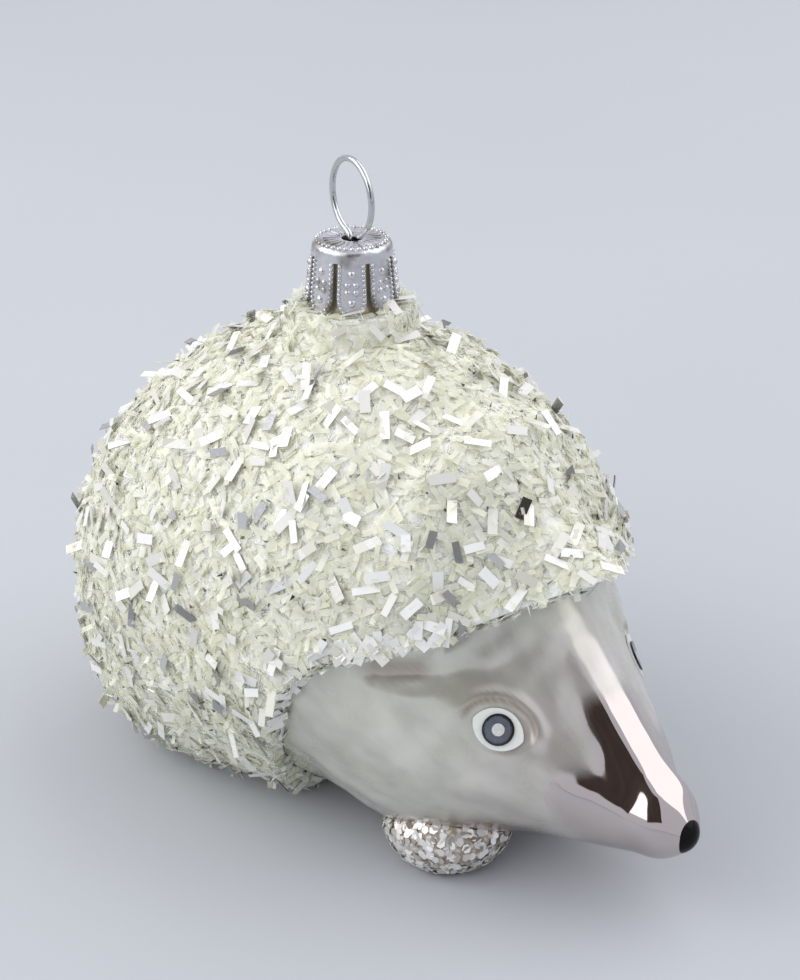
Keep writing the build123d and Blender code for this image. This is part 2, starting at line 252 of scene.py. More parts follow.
def lacquered_mirror():
    """Silvered glass: bare and mirror-bright on the snout, under pearl lacquer elsewhere."""
    look = Finish("silvered_glass", Coat_Roughness=0.18, Coat_IOR=1.5)
    lacquer = look.attribute("lacquer")
    blush_and_painted_shade = look.attribute("blush_and_painted_shade")
    pink_tint_and_coat_reflection = look.attribute("pink_tint_and_coat_reflection")
    cloudy = look.noise(6.5, 2)
    streaks_and_painted_reflection = look.strokes(4.6, 2.6, (0, 0.55, 0))
    # cream near the coat is a painted reflection of the coat; pinker towards the snout
    pearl = pink_tint_and_coat_reflection.mixed(rgb(217, 217, 205), rgb(214, 208, 205))
    pearl = (cloudy.between(0.35, 0.75) * 0.5).mixed(pearl, rgb(186, 188, 170))
    # dark streaks along the pull of the glass: partly soft brush marks, partly painted reflection of
    # dark surroundings in the silvered face
    pearl = (streaks_and_painted_reflection.between(0.34, 0.74) * 0.45).mixed(pearl, rgb(158, 155, 148))
    bare = cloudy.mixed(rgb(206, 196, 193), rgb(192, 183, 182))
    colour = lacquer.mixed(bare, pearl)
    # brown over the eye is blush; round the lid, under the ear fold and along the jaw crease it is
    # painted shade
    colour = blush_and_painted_shade.mixed(colour, rgb(140, 118, 100))
    colour = look.attribute("glue").mixed(colour, rgb(206, 192, 140))
    look.feed("Base Color", colour)
    look.feed("Metallic", 1 - lacquer * 0.48)
    look.feed("Roughness", 0.06 + lacquer * (0.14 + 0.12 * cloudy))
    look.feed("Coat Weight", lacquer * 0.35)
    look.bump(cloudy + lacquer * streaks_and_painted_reflection * 1.2, 0.3, 0.25)
    return look.material


def crystal_bed():
    """The glue and fine glitter under the tinsel: cream, milky and crystalline."""
    look = Finish(
        "glitter_bed",
        Specular_IOR_Level=0.6,
        Subsurface_Weight=0.8,
        Subsurface_Scale=0.0015,
        Subsurface_Radius=(1.0, 0.95, 0.7),
    )
    crystal = look.cells(0.75)
    own = look.cell_tone(0.75)
    broad = look.noise(9, 2)
    colour = own.ramp([(0, 240, 239, 216), (0.35, 248, 248, 234), (1, 254, 254, 250)])
    look.feed("Base Color", broad.between(0.35, 0.75).mixed(colour, rgb(247, 246, 226)))
    look.feed("Roughness", 0.2 + 0.4 * own)
    look.bump(own + crystal, 0.7, 0.4)
    return look.material


def foil(name, stops, metal, rough, coat=0.0, milky=0.0, clear=0.0, strewn=True):
    """Cut foil or film, each flake with its own tone."""
    look = Finish(
        name,
        Coat_Weight=coat,
        Coat_Roughness=0.03,
        Specular_IOR_Level=0.7,
        Subsurface_Weight=milky,
        Subsurface_Scale=0.001,
        Subsurface_Radius=(1.0, 0.95, 0.75),
        Alpha=1 - clear,
    )
    own = look.attribute("tone") if strewn else look.cell_tone(4.0)
    crease = look.noise(0.5, 2)
    look.feed("Base Color", (own * 0.85 + crease * 0.15).ramp(stops))
    look.feed("Metallic", metal + 0.08 * crease)
    look.feed("Roughness", rough + 0.18 * own * crease)
    look.bump(crease, 0.12, 0.05)
    return look.material


def hex_glitter():
    """Flat glitter of the paws, from brown to white, each flake with its own tone."""
    look = Finish("paw_glitter", Coat_Weight=0.3, Coat_Roughness=0.05)
    own = look.attribute("tone")
    crease = look.noise(0.25, 1)
    stops = [(0, 126, 108, 92), (0.2, 186, 180, 172), (0.6, 232, 231, 227), (1, 248, 248, 246)]
    look.feed("Base Color", own.ramp(stops))
    look.feed("Metallic", 0.25 + 0.3 * own)
    look.feed("Roughness", 0.12 + 0.22 * crease)
    return look.material


def paw_glue():
    """The ground that the glitter of the paws lies on."""
    look = Finish("paw_ground", Coat_Weight=0.2)
    grain = look.cells(0.75)
    fine = look.noise(0.3, 2)
    colour = grain.between(0.1, 0.6).mixed(rgb(226, 222, 212), rgb(172, 158, 142))
    look.feed("Base Color", colour)
    look.feed("Roughness", 0.25 + 0.3 * fine)
    look.feed("Metallic", 0.45 + 0.2 * fine)
    look.bump(grain + fine * 0.3, 0.7, 0.3)
    return look.material


def painted_white():
    """White paint of the eye, laid on by brush."""
    look = Finish("eye_white", Coat_Weight=0.4, Coat_Roughness=0.12)
    stroke = look.noise(0.7, 3)
    look.feed("Base Color", stroke.mixed(rgb(232, 235, 228), rgb(216, 220, 214)))
    look.feed("Roughness", 0.28 + 0.2 * stroke)
    look.bump(stroke, 0.2, 0.06)
    return look.material


def brushed_iris(middle):
    """Slate paint inside a black brushed outline, which is uneven round its rim."""
    look = Finish("iris", Coat_Weight=0.4, Coat_Roughness=0.1)
    stroke = look.noise(0.5, 3)
    inputs = {0: look.place, 1: [c * MM for c in middle]}
    apart = look.tone.node("ShaderNodeVectorMath", {"operation": "SUBTRACT"}, inputs)
    away = look.tone.node("ShaderNodeVectorMath", {"operation": "LENGTH"}, {0: apart}, output=1)
    ragged = away / MM + (stroke - 0.5) * 0.5
    rim = ragged.between(IRIS_RADIUS * 0.80, IRIS_RADIUS * 0.93)
    slate = stroke.mixed(rgb(72, 78, 90), rgb(94, 100, 112))
    look.feed("Base Color", rim.mixed(slate, rgb(18, 17, 18)))
    look.feed("Roughness", 0.22 + 0.2 * stroke)
    look.bump(stroke, 0.2, 0.05)
    return look.material


def dot_of_light():
    """The pale dot in the middle of the iris."""
    look = Finish("pupil", Coat_Weight=0.4, Coat_Roughness=0.1)
    stroke = look.noise(0.4, 2)
    look.feed("Base Color", stroke.mixed(rgb(176, 178, 176), rgb(226, 226, 222)))
    look.feed("Roughness", 0.25 + 0.2 * stroke)
    return look.material


def black_enamel():
    """The nose's black paint, with hardly any shine."""
    look = Finish("black_enamel", Coat_Weight=0.06, Coat_Roughness=0.05, Specular_IOR_Level=0.08)
    orange_peel = look.noise(1.1, 2)
    look.feed("Base Color", orange_peel.mixed(rgb(8, 7, 8), rgb(20, 18, 18)))
    look.feed("Roughness", 0.10 + 0.12 * orange_peel)
    look.bump(orange_peel, 0.12, 0.1)
    return look.material


def stamped_metal():
    """Thin plated sheet with soft press marks, a little dull and yellow in its hollows."""
    look = Finish("cap_metal", Coat_Roughness=0.1)
    press = look.noise(0.8, 3)
    wear = look.noise(2.6, 2)
    colour = wear.between(0.45, 0.75).mixed(rgb(208, 208, 212), rgb(144, 139, 133))
    look.feed("Base Color", colour)
    look.feed("Metallic", 0.80 + 0.08 * press)
    look.feed("Roughness", 0.18 + 0.16 * wear)
    look.bump(press, 0.45, 0.18)
    return look.material


def bright_wire():
    """Drawn spring wire."""
    look = Finish("wire", Anisotropic=0.3)
    draw = look.noise(0.25, 3)
    look.feed("Base Color", draw.mixed(rgb(180, 183, 186), rgb(212, 214, 216)))
    look.feed("Metallic", 0.97 + 0.03 * draw)
    look.feed("Roughness", 0.10 + 0.10 * draw)
    look.bump(draw, 0.06, 0.04)
    return look.material


# Meshes

def placed(name, data):
    """A new object in the scene."""
    made = bpy.data.objects.new(name, data)
    bpy.context.scene.collection.objects.link(made)
    return made


def points_of(mesh):
    """The corners of a mesh, one row each, in metres."""
    at = np.empty(len(mesh.vertices) * 3)
    mesh.vertices.foreach_get("co", at)
    return at.reshape(-1, 3)


def spline(knots, values, at):
    """A natural cubic spline through values at knots."""
    step = np.diff(knots)
    count = len(knots)
    left = np.eye(count)
    right = np.zeros(count)
    for i in range(1, count - 1):
        left[i, i - 1 : i + 2] = step[i - 1], 2 * (step[i - 1] + step[i]), step[i]
        before = (values[i] - values[i - 1]) / step[i - 1]
        after = (values[i + 1] - values[i]) / step[i]
        right[i] = 6 * (after - before)
    bend = np.linalg.solve(left, right)
    cell = np.clip(np.searchsorted(knots, at) - 1, 0, count - 2)
    h = step[cell]
    a = (knots[cell + 1] - at) / h
    b = (at - knots[cell]) / h
    cubic = (a**3 - a) * bend[cell] + (b**3 - b) * bend[cell + 1]
    return a * values[cell] + b * values[cell + 1] + cubic * h * h / 6


def hump(distance, reach):
    return np.exp(-((distance / reach) ** 2))


def smooth_step(value, low, high):
    share = np.clip((value - low) / (high - low), 0, 1)
    return share * share * (3 - 2 * share)


def band(value, start, full, fall, end):
    """Rises from start to full, and falls away from fall to end."""
    return smooth_step(value, start, full) * smooth_step(-value, -end, -fall)


def figure_grid(stations, turns, inset=0.0):
    """Points of the blown figure, one ring for each station, from the tail to the snout."""
    table = np.array(SECTIONS)
    reach = np.hypot(np.diff(table[:, 0] * BODY_LENGTH), np.diff(table[:, 1] * BODY_WIDTH / 2))
    along = np.concatenate(([0], np.cumsum(reach))) / reach.sum()
    splines = [spline(along, table[:, i], stations) for i in range(table.shape[1])]
    x, half, crown, widest, belly, upper, lower = splines
    half = np.maximum(half * BODY_WIDTH / 2 - inset, LEAST_HALF_WIDTH)
    crown = crown * BODY_HEIGHT - inset
    belly = belly * BODY_HEIGHT + inset
    widest = widest * BODY_HEIGHT
    x = x * BODY_LENGTH - TAIL_TO_NECK
    q = np.linspace(0, 1, turns // 4 + 1)[:-1]
    shares = [(1 - q) ** 3, 3 * q * (1 - q) ** 2, 3 * q**2 * (1 - q), q**3]

    def bezier(ends):
        return sum(np.outer(end, share) for end, share in zip(ends, shares))

    zero = np.zeros_like(half)
    low_y = bezier([zero, lower * half, half, half])
    low_z = bezier([belly, belly, widest - lower * (widest - belly), widest])
    high_y = bezier([half, half, upper * half, zero])
    high_z = bezier([widest, widest + upper * (crown - widest), crown, crown])
    right_y = np.hstack([low_y, high_y, zero[:, None]])
    right_z = np.hstack([low_z, high_z, crown[:, None]])
    y = np.hstack([right_y, -right_y[:, -2:0:-1]])
    z = np.hstack([right_z, right_z[:, -2:0:-1]])
    return np.stack([np.repeat(x[:, None], y.shape[1], 1), y, z], axis=2)


def grid_faces(rings, turns, skip=lambda centre: False, points=None):
    """Faces between rings of points, but for those whose middle is to be skipped."""
    faces = []
    for i in range(rings - 1):
        for j in range(turns):
            k = (j + 1) % turns
            corners = (i * turns + j, i * turns + k, (i + 1) * turns + k, (i + 1) * turns + j)
            if points is None or not skip(points[list(corners)].mean(axis=0)):
                faces.append(corners)
    return faces


def tube(grid, outward, skip):
    """A figure's grid as a shell with closed ends, open only where skip says so."""
    rings, turns = grid.shape[:2]
    flat = grid.reshape(-1, 3)
    faces = grid_faces(rings, turns, skip, flat)
    faces += [tuple(range(turns - 1, -1, -1)), tuple(range(len(flat) - turns, len(flat)))]
    return flat, faces if outward else [face[::-1] for face in faces]


def grid_normals(grid):
    """The way out of the figure at each point of its grid."""
    along = np.gradient(grid, axis=0)
    around = (np.roll(grid, -1, axis=1) - np.roll(grid, 1, axis=1)) / 2
    out = np.cross(along, around)
    length = np.linalg.norm(out, axis=2, keepdims=True)
    out = out / np.maximum(length, 1e-9)
    middle = grid.mean(axis=1, keepdims=True)
    sign = np.sign(((grid - middle) * out).sum(axis=2).mean())
    return out * sign


def about_eye(side):
    """How far round the eye a point lies, how high above its middle, and how near its surface."""
    from_eye = side - EYE
    high = from_eye @ np.cross(EYE_OUT, EYE_ALONG)
    long = (from_eye @ EYE_ALONG) / EYE_HALF_LENGTH
    return np.hypot(long, high / EYE_HALF_HEIGHT), high, hump(from_eye @ EYE_OUT, EYE_DEPTH)


def about_ear(side):
    """How far along the ear a point lies, how far above its fold, and how far off it."""
    away = side - EAR
    length = away @ EAR_ALONG
    across = away - length[..., None] * EAR_ALONG
    return length, across[..., 2], np.linalg.norm(across, axis=-1)


def about_spot(side, middle, reach):
    """How far a point lies from a spot, as a share of the spot's reach each way."""
    return np.linalg.norm((side - middle) / reach, axis=-1)


def carved(grid):
    """The same figure with its ridges, ear, lids and the gentle waves of blown glass."""
    x, y, z = grid[..., 0], np.abs(grid[..., 1]), grid[..., 2]
    side = np.stack([x, -y, z], axis=2)
    # a ridge along each side of the snout's back, and a hollow beside it
    above = smooth_step(z, 14, 18) + smooth_step(x, 44, 52) * smooth_step(z, 9, 12)
    snout = band(x, 36, 41, 52, 55) * np.clip(above, 0, 1)
    rise = 0.30 * snout * hump(y - 2.0, 1.2)
    rise += -0.35 * band(x, 38, 44, 50, 54) * hump(y - 4.6, 2.0) * smooth_step(z, 10, 15)
    # the fold of the ear, and the hollow under it
    length, drop, apart = about_ear(side)
    span = smooth_step(-np.abs(length + 0.4), -5.4, -2.2)
    rise += 2.2 * span * hump(drop - 0.4, 1.35) * hump(apart, 3.2)
    rise += -1.0 * span * hump(drop + 2.9, 1.5) * hump(apart, 5.0)
    # the upper lid with its crease, and the socket of the eye
    round_eye, high, near = about_eye(side)
    lid = smooth_step(high, -1.5, 1.2)
    rise += near * lid * (0.30 * hump(round_eye - 1.25, 0.24) - 0.16 * hump(round_eye - 1.0, 0.10))
    rise += -0.10 * near * smooth_step(-round_eye, -0.98, -0.86)
    # a dent at the brow, and a full cheek
    rise += -0.40 * hump(about_spot(side, (31.5, -13.5, 29.3), (6.0, 5.0, 1.6)), 0.9)
    rise += 0.30 * hump(about_spot(side, (30.0, -16.5, 16.0), (8.0, 6.0, 3.0)), 0.9)
    # waves of blown glass, away from the eye and fainter on the snout
    wave = np.sin(x * 0.9 + 1.3 * np.sin(z * 0.5)) * np.sin(z * 0.8 + y * 0.6)
    rise += 0.08 * wave * smooth_step(round_eye, 1.2, 1.6) * (1 - 0.8 * smooth_step(x, 38, 44))
    # the fuller tip of the snout, round the nose
    rise += 0.38 * smooth_step(x, 50, 53.5)
    shaped = grid + grid_normals(grid) * rise[..., None]
    shaped[..., 2] = np.maximum(shaped[..., 2], 0.0)
    return shaped


def paw_dome(middle):
    """A paw: a turned dome, flat underneath at the floor."""
    rings, turns = 28, 56
    lift = np.linspace(-math.pi / 2, math.pi / 2, rings)
    turn = np.linspace(0, 2 * math.pi, turns, endpoint=False)
    x = middle[0] + PAW_RADIUS * np.outer(np.cos(lift), np.cos(turn))
    y = middle[1] + PAW_RADIUS * np.outer(np.cos(lift), np.sin(turn))
    z = np.maximum(middle[2] + PAW_HALF_HEIGHT * np.outer(np.sin(lift), np.ones(turns)), 0.0)
    return np.stack([x, y, z], axis=2).reshape(-1, 3), grid_faces(rings, turns)


def turned(profile):
    """A ring turned round the neck's axis from a closed profile of radius and level."""
    turns = 64
    turn = np.linspace(0, 2 * math.pi, turns, endpoint=False)
    radius, level = np.array(profile + profile[:1]).T
    x, y = np.outer(radius, np.cos(turn)), np.outer(radius, np.sin(turn))
    z = np.outer(level, np.ones(turns))
    return np.stack([x, y, z], axis=2).reshape(-1, 3), grid_faces(len(radius), turns)


def glass_shells():
    """Points and faces of the hollow glass: outer skin, inner wall, paws and neck."""
    outer_turns, inner_turns = 200, 72
    tail = np.linspace(0, 0.12, 26)
    back = np.linspace(0.12, 0.55, 62)[1:]
    face = np.linspace(0.55, 1, 190)[1:]
    outer = carved(figure_grid(np.concatenate([tail, back, face]), outer_turns))
    inner = figure_grid(np.linspace(0.058, 0.942, 70), inner_turns, GLASS_WALL)
    low = BODY_HEIGHT - GLASS_WALL - 1.0
    neck = [
        (NECK_BORE, low),
        (NECK_RADIUS + NECK_FOOT, low),
        (NECK_RADIUS + NECK_FOOT, low + 2.0),
        (NECK_RADIUS, low + 3.0),
        (NECK_RADIUS, NECK_TOP - NECK_RIM),
        (NECK_RADIUS - 0.1, NECK_TOP - 0.1),
        (NECK_RADIUS - NECK_RIM, NECK_TOP),
        (NECK_BORE + NECK_RIM, NECK_TOP),
        (NECK_BORE + 0.1, NECK_TOP - 0.1),
        (NECK_BORE, NECK_TOP - NECK_RIM),
    ]

    def in_neck(centre):
        near_axis = math.hypot(centre[0], centre[1]) < NECK_RADIUS - 0.4
        return near_axis and centre[2] > BODY_HEIGHT / 2

    points, faces, start = [], [], 0
    shells = [tube(outer, True, in_neck), tube(inner, False, in_neck)]
    shells += [paw_dome(PAW), paw_dome(PAW * MIRROR), turned(neck)]
    for some_points, some_faces in shells:
        points.append(some_points)
        faces += [tuple(start + i for i in face) for face in some_faces]
        start += len(some_points)
    return np.vstack(points), faces


def paint_layers(at):
    """Where the glass is lacquered, blushed, darkened by painted shade, pink towards the snout, cream
    with a painted reflection of the coat, and smeared with glue, at each point.
    """
    x, y, z = at[:, 0], np.abs(at[:, 1]), at[:, 2]
    side = np.stack([x, -y, z], axis=1)
    edge = 44.2 + 1.2 * np.sin(z * 0.7) + 0.9 * np.sin(y * 1.1 + 1.0)
    lacquer = 1 - smooth_step(x, edge - 1.8, edge + 1.6)
    lacquer *= 1 - 0.55 * smooth_step(-z, -11, -7) * smooth_step(x, 20, 30)
    on_neck = z > BODY_HEIGHT + 1
    lacquer[on_neck] = 1.0
    round_eye, high, near = about_eye(side)
    length, drop, apart = about_ear(side)
    span = smooth_step(-np.abs(length + 0.4), -5.2, -2.2)
    # blush over the eye; painted shade round its lid, under the ear's fold, and along the jaw crease
    blush_and_painted_shade = 0.22 * hump(about_spot(side, (33.6, -12.6, 28.0), (3.6, 3.0, 2.0)), 0.8)
    blush_and_painted_shade += 0.75 * near * smooth_step(high, -0.6, 1.0) * hump(round_eye - 1.10, 0.13)
    blush_and_painted_shade += 0.75 * span * hump(drop + 2.3, 1.3) * hump(apart, 5.0)
    blush_and_painted_shade += 0.45 * hump(z - 9.0, 1.8) * band(x, 27, 33, 38, 44)
    # cream towards the coat, a painted reflection of the coat, and pink towards the snout
    pink_tint_and_coat_reflection = np.clip(smooth_step(x, 30, 44) * 0.9 + 0.2, 0, 1)
    glue = np.where(on_neck, 0.85, 0.0)
    return {"lacquer": lacquer, "blush_and_painted_shade": blush_and_painted_shade, "pink_tint_and_coat_reflection": pink_tint_and_coat_reflection, "glue": glue}


def blown_figure(material):
    """The glass figure as one piece, with its layers of paint."""
    name = "blown_glass_figure"
    points, faces = glass_shells()
    mesh = bpy.data.meshes.new(name)
    mesh.from_pydata([tuple(p) for p in points * MM], [], faces)
    shell = bmesh.new()
    shell.from_mesh(mesh)
    bmesh.ops.remove_doubles(shell, verts=shell.verts, dist=0.001 * MM)
    shell.to_mesh(mesh)
    shell.free()
    mesh.polygons.foreach_set("use_smooth", [True] * len(mesh.polygons))
    mesh.materials.append(material)
    for layer, values in paint_layers(points_of(mesh) / MM).items():
        stored = mesh.attributes.new(layer, "FLOAT", "POINT")
        stored.data.foreach_set("value", values.astype(np.float32))
    piece = placed(name, mesh)
    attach(piece, "glass")
    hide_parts("glass_body")


# Geometry node trees

def tree_with(name, inputs):
    """An empty tree with a mesh in, a mesh out, and named inputs for its sizes."""
    tree = bpy.data.node_groups.new(name, "GeometryNodeTree")
    tree.interface.new_socket("Mesh", in_out="INPUT", socket_type="NodeSocketGeometry")
    tree.interface.new_socket("Mesh", in_out="OUTPUT", socket_type="NodeSocketGeometry")
    for label, kind in inputs.items():
        tree.interface.new_socket(label, in_out="INPUT", socket_type=kind)
    given = tree.nodes.new("NodeGroupInput").outputs
    return tree, given, tree.nodes.new("NodeGroupOutput")


def random_between(tree, low, high, seed, vector=False):
    """A number drawn for each point, or three of them."""
    kind, first = ("FLOAT_VECTOR", 0) if vector else ("FLOAT", 2)
    inputs = {first: low, first + 1: high, "Seed": seed}
    made = put(tree, "FunctionNodeRandomValue", {"data_type": kind}, inputs)
    return made.outputs[0 if vector else 1]


def later_seed(tree, seed, step):
    """A seed for a further draw."""
    added = put(tree, "FunctionNodeIntegerMath", {"operation": "ADD"}, {0: seed, 1: step})
    return added.outputs[0]


def end_tree(tree, out, instances, material):
    """Makes one mesh of the instances, in the material, and hands it out."""
    real = put(tree, "GeometryNodeRealizeInstances", None, {"Geometry": instances.outputs[0]})
    inputs = {"Geometry": real.outputs[0], "Material": material}
    dressed = put(tree, "GeometryNodeSetMaterial", None, inputs)
    tree.links.new(dressed.outputs[0], out.inputs[0])
    return tree


def strewn_tree(name, shape):
    """Strews flakes or shards over a surface at odd angles, each with its own tone."""
    labels = ("Density", "Length", "Width", "Thickness", "Lift", "Least tilt", "Most tilt")
    sizes = {label: "NodeSocketFloat" for label in labels}
    sizes |= {"Seed": "NodeSocketInt", "Material": "NodeSocketMaterial"}
    tree, given, out = tree_with(name, sizes)
    seed = given["Seed"]
    inputs = {"Mesh": given["Mesh"], "Density": given["Density"], "Seed": seed}
    spread = put(tree, "GeometryNodeDistributePointsOnFaces", None, inputs)
    inputs = {0: spread.outputs["Normal"], "Scale": given["Lift"]}
    raised = put(tree, "ShaderNodeVectorMath", {"operation": "SCALE"}, inputs)
    inputs = {"Geometry": spread.outputs["Points"], "Offset": raised.outputs[0]}
    points = put(tree, "GeometryNodeSetPosition", None, inputs)
    turn = 0.0
    if shape == "shard":
        inputs = {"Vertices": 3, "Radius Bottom": given["Width"], "Radius Top": 0.0}
        form = put(tree, "GeometryNodeMeshCone", None, {**inputs, "Depth": given["Length"]})
        turn = math.pi / 2
    elif shape == "hex":
        inputs = {"Vertices": 6, "Radius": given["Length"], "Depth": given["Thickness"]}
        form = put(tree, "GeometryNodeMeshCylinder", None, inputs)
    else:
        inputs = {0: given["Width"], 1: given["Length"], 2: given["Thickness"]}
        box = put(tree, "ShaderNodeCombineXYZ", None, inputs)
        form = put(tree, "GeometryNodeMeshCube", None, {"Size": box.outputs[0]})
    tilt = random_between(tree, given["Least tilt"], given["Most tilt"], seed)
    lean = put(tree, "ShaderNodeMath", {"operation": "SUBTRACT"}, {0: turn, 1: tilt})
    spin = random_between(tree, 0.0, 2 * math.pi, later_seed(tree, seed, 1))
    most_roll = 0.35
    roll = random_between(tree, -most_roll, most_roll, later_seed(tree, seed, 2))
    angles = put(tree, "ShaderNodeCombineXYZ", None, {0: lean.outputs[0], 1: roll, 2: spin})
    local = put(tree, "FunctionNodeEulerToRotation", None, {0: angles.outputs[0]})
    inputs = {0: spread.outputs["Rotation"], 1: local.outputs[0]}
    facing = put(tree, "FunctionNodeRotateRotation", {"rotation_space": "LOCAL"}, inputs)
    least, most = (0.7, 0.7, 0.7), (1.15, 1.15, 1.15)
    size = random_between(tree, least, most, later_seed(tree, seed, 3), vector=True)
    inputs = {"Points": points.outputs[0], "Instance": form.outputs["Mesh"]}
    inputs |= {"Rotation": facing.outputs[0], "Scale": size}
    strewn = put(tree, "GeometryNodeInstanceOnPoints", None, inputs)
    own = random_between(tree, 0.0, 1.0, later_seed(tree, seed, 4))
    settings = {"data_type": "FLOAT", "domain": "INSTANCE"}
    inputs = {"Geometry": strewn.outputs[0], "Name": "tone", "Value": own}
    toned = put(tree, "GeometryNodeStoreNamedAttribute", settings, inputs)
    return end_tree(tree, out, toned, given["Material"])


def round_beads(tree, given, out, points):
    """Sets a round bead on each point, and ends the tree."""
    inputs = {"Radius": given["Radius"], "Subdivisions": 2}
    bead = put(tree, "GeometryNodeMeshIcoSphere", None, inputs)
    smooth = put(tree, "GeometryNodeSetShadeSmooth", None, {"Geometry": bead.outputs[0]})
    inputs = {"Points": points.outputs[0], "Instance": smooth.outputs[0]}
    beads = put(tree, "GeometryNodeInstanceOnPoints", None, inputs)
    return end_tree(tree, out, beads, given["Material"])


def bead_tree():
    """Sets round beads along lines, a pitch apart."""
    sizes = {label: "NodeSocketFloat" for label in ("Pitch", "Radius")}
    sizes |= {"Material": "NodeSocketMaterial"}
    tree, given, out = tree_with("beads_along_lines", sizes)
    line = put(tree, "GeometryNodeMeshToCurve", None, {"Mesh": given["Mesh"]})
    inputs = {"Curve": line.outputs[0], "Length": given["Pitch"]}
    points = put(tree, "GeometryNodeCurveToPoints", {"mode": "LENGTH"}, inputs)
    return round_beads(tree, given, out, points)


def boss_tree():
    """Sets a round boss on each point."""
    sizes = {"Radius": "NodeSocketFloat", "Material": "NodeSocketMaterial"}
    tree, given, out = tree_with("bosses_on_points", sizes)
    points = put(tree, "GeometryNodeMeshToPoints", None, {"Mesh": given["Mesh"]})
    return round_beads(tree, given, out, points)


def made_by(tree, carrier, name, body, values):
    """A plain mesh from the tree on a carrier, riding on a body."""
    holder = placed("holder", carrier)
    grower = holder.modifiers.new("grower", "NODES")
    grower.node_group = tree
    for item in tree.interface.items_tree:
        if item.in_out == "INPUT" and item.name in values:
            grower[item.identifier] = values[item.name]
    holder.update_tag()
    settled = holder.evaluated_get(bpy.context.evaluated_depsgraph_get())
    mesh = bpy.data.meshes.new_from_object(settled)
    mesh.name = name
    at = points_of(mesh)
    at[:, 2] = np.maximum(at[:, 2], 0.0)  # nothing goes below the floor
    mesh.vertices.foreach_set("co", at.reshape(-1))
    holder.modifiers.remove(grower)
    bpy.data.objects.remove(holder)
    piece = placed(name, mesh)
    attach(piece, body)


def carrier_of(name, points, faces):
    """A mesh to strew on, from points in millimetres and triangles."""
    mesh = bpy.data.meshes.new(name)
    corners = [tuple(int(i) for i in face) for face in faces]
    mesh.from_pydata([tuple(p) for p in points * MM], [], corners)
    mesh.update()
    return mesh


def faces_of(mesh):
    return np.array([list(p.vertices) for p in mesh.polygons])


def outer_skin(node, keep, name):
    """A merged copy of the faces of a node that the given test keeps."""
    source = nodes[node].data
    rounded = np.round(points_of(source) / MM, 4)
    merged, index = np.unique(rounded, axis=0, return_inverse=True)
    faces = index.reshape(-1)[faces_of(source)]
    first, second, third = (merged[faces[:, i]] for i in range(3))
    out = np.cross(second - first, third - first)
    out /= np.maximum(np.linalg.norm(out, axis=1, keepdims=True), 1e-12)
    return carrier_of(name, merged, faces[keep(merged[faces].mean(axis=1), out)])


def front_fringe(carrier, name):
    """The faces of a carrier that lie near its open front edge."""
    at = points_of(carrier) / MM
    faces = faces_of(carrier)
    sides = np.vstack([faces[:, (0, 1)], faces[:, (1, 2)], faces[:, (2, 0)]])
    pairs, used = np.unique(np.sort(sides, axis=1), axis=0, return_counts=True)
    rim = at[np.unique(pairs[used == 1])]
    rim = rim[(rim[:, 0] > FRINGE_FROM) & (rim[:, 2] > FRINGE_HEM)]
    middles = at[faces].mean(axis=1)
    near = [np.linalg.norm(rim - middle, axis=1).min() < FRINGE_REACH for middle in middles]
    return carrier_of(name, at, faces[near])


def looks_away(middle, out, core):
    """Which faces look away from a point inside the piece."""
    return ((middle - core) * out).sum(axis=1) > 0


def area_of(mesh):
    return sum(p.area for p in mesh.polygons)


# Pieces

def dress_nodes():
    """Better finishes on the nodes that stay as they are."""
    stops = [(0, 132, 131, 129), (0.5, 180, 179, 177), (1, 226, 226, 225)]
    silver = foil("silver_foil", stops, metal=0.85, rough=0.16, strewn=False)
    stops = [(0, 206, 202, 186), (0.6, 236, 234, 224), (1, 244, 244, 240)]
    pearl = foil("pearl_foil", stops, metal=0.1, rough=0.18, coat=0.5, strewn=False)
    white, near_iris, far_iris = painted_white(), brushed_iris(EYE), brushed_iris(EYE * MIRROR)
    spot, ground = dot_of_light(), paw_glue()
    finishes = {
        "glitter_bed": crystal_bed(),
        "silver_tinsel": silver,
        "pearl_tinsel": pearl,
        "right_paw_glitter": ground,
        "left_paw_glitter": ground,
        "right_eye_white": white,
        "left_eye_white": white,
        "right_iris": near_iris,
        "left_iris": far_iris,
        "right_pupil": spot,
        "left_pupil": spot,
        "nose_tip": black_enamel(),
        "crown_cap": stamped_metal(),
        "wire_hanger": bright_wire(),
    }
    for name, material in finishes.items():
        nodes[name].data.materials.clear()
        nodes[name].data.materials.append(material)
    return finishes


